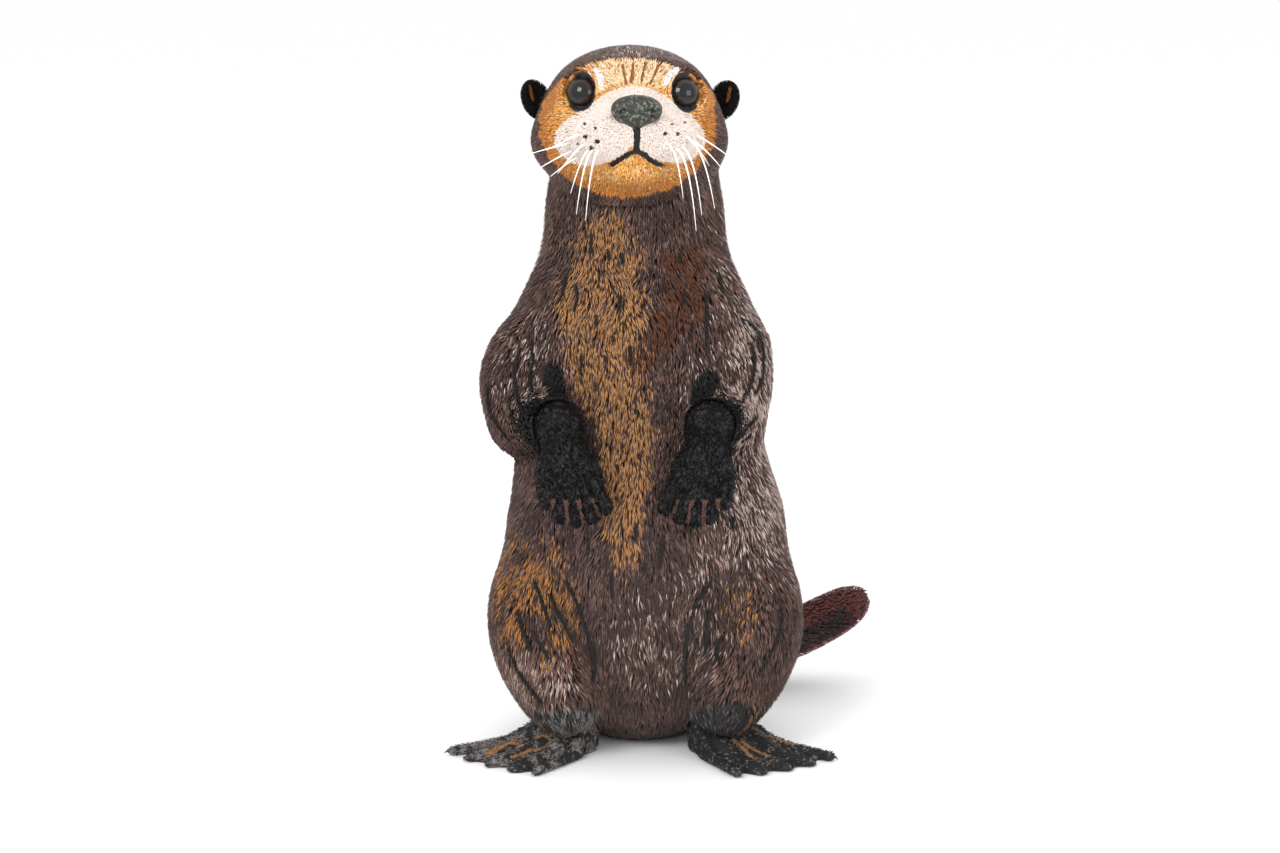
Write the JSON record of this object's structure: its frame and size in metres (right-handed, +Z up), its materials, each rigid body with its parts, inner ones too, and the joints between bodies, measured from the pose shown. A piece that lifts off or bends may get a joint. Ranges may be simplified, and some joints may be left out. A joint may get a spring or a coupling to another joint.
{
  "type": "sea otter",
  "caption": "Sea otter sitting upright on its haunches, forepaws hanging over the belly, webbed hind feet splayed and the short flat tail curled out past one hip.",
  "frame": {"origin": "on the floor, under the middle of the trunk, inside the flat that the rump sits on", "axes": "+Z up from the floor to the crown, -Y the way the animal faces, +X its left side"},
  "size_m": [0.5012, 0.4133, 0.7883],
  "materials": {
    "coat_dark": "dense matt fur, dark brown with fine lighter brown flecks",
    "coat_russet": "dense matt fur, reddish brown, darkest along the middle",
    "coat_gold": "short soft fur, golden orange, browner at the rim",
    "coat_cream": "very short soft fur, cream",
    "ear_coat": "very short near-black fur",
    "paw_skin": "black skin under short grizzled fur",
    "web_skin": "dark grey webbed skin, short grizzled fur",
    "nose_skin": "damp charcoal skin with a fine pebbled grain",
    "eye": "wet and glossy, near black"
  },
  "bodies": {
    "root": {"head": "coat_dark", "face": "coat_gold", "muzzle": "coat_cream", "lower_jaw": "coat_gold", "nose": "nose_skin", "eye_right": "eye", "eye_left": "eye", "ear_right": "ear_coat", "ear_left": "ear_coat", "neck": "coat_dark", "trunk": "coat_dark", "upper_arm_right": "coat_dark", "forearm_right": "coat_dark", "forepaw_right": "paw_skin", "upper_arm_left": "coat_dark", "forearm_left": "coat_dark", "forepaw_left": "paw_skin", "thigh_right": "coat_dark", "hind_foot_right": "web_skin", "thigh_left": "coat_dark", "hind_foot_left": "web_skin", "tail": "coat_russet"}
  },
  "joints": []
}
